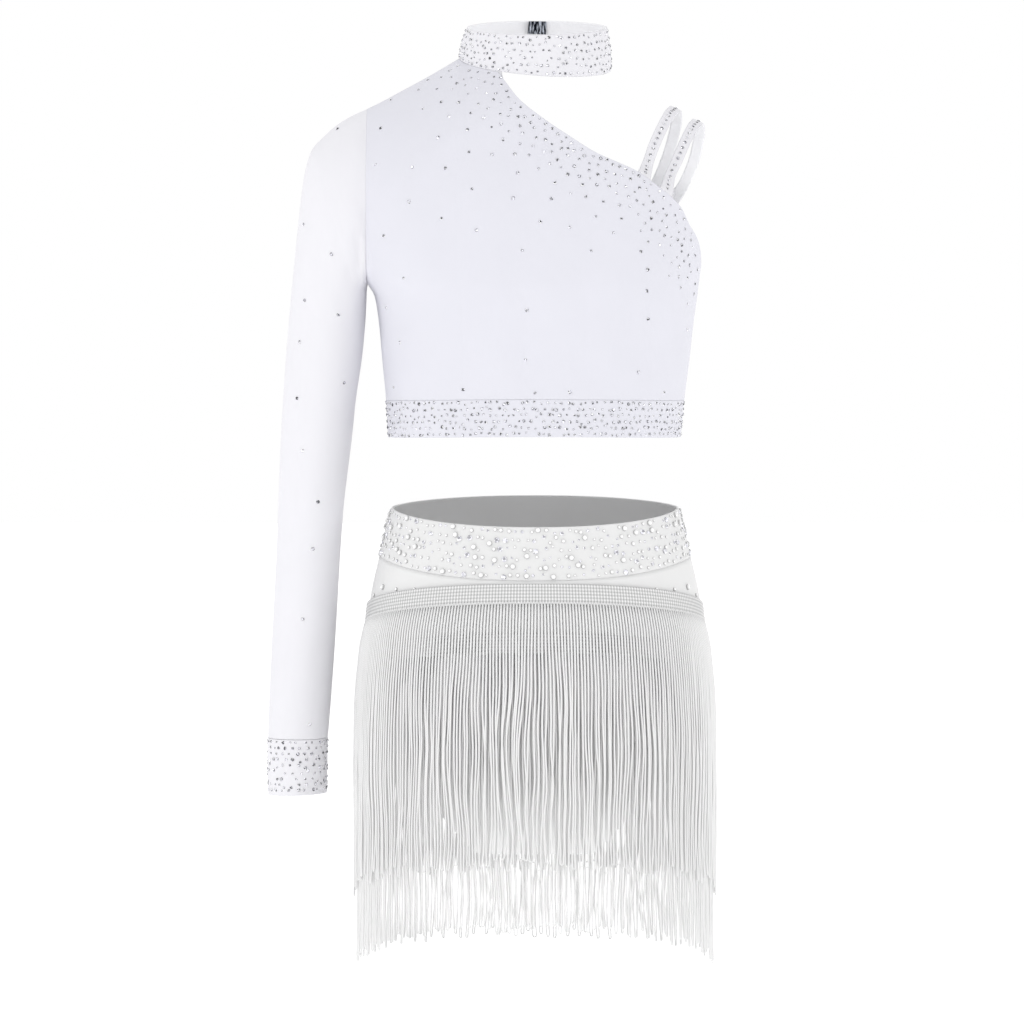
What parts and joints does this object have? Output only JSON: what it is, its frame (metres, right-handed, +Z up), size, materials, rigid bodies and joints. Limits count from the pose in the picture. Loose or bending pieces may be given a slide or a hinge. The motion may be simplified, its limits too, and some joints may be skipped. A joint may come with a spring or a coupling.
{
  "type": "fringe dance costume",
  "caption": "Dance costume in its worn form: a one-sleeved crop top with a stoned choker and shoulder straps, and a skirt with tiers of looped fringe.",
  "frame": {"origin": "centre of the waist opening, level with the top of the waistband at the sides, where the wearer holds the skirt up", "axes": "+Z up the body, -Y towards the front, +X towards the wearer's left, the bare arm's side"},
  "size_m": [0.3466, 0.2286, 0.7263],
  "materials": {
    "white_knit": "fine matte stretch knit, white with a faint cool tint",
    "stoned_knit": "stretch knit set densely with clear faceted stones",
    "skirt_base": "plain matte stretch knit behind the fringe",
    "fringe_yarn": "soft satin looped yarn on a braided heading",
    "steel": "pressed steel hook and bar"
  },
  "bodies": {
    "root": {"bodice_front": "white_knit", "bodice_back": "white_knit", "sleeve": "white_knit", "cuff_band": "stoned_knit", "hem_band": "stoned_knit", "collar": "stoned_knit", "strap_inner": "stoned_knit", "strap_outer": "stoned_knit", "closure_hook": "steel", "closure_bar": "steel", "waistband": "stoned_knit", "skirt_front": "skirt_base", "skirt_back": "skirt_base", "gusset": "skirt_base", "fringe_upper": "fringe_yarn", "fringe_lower": "fringe_yarn"}
  },
  "joints": []
}
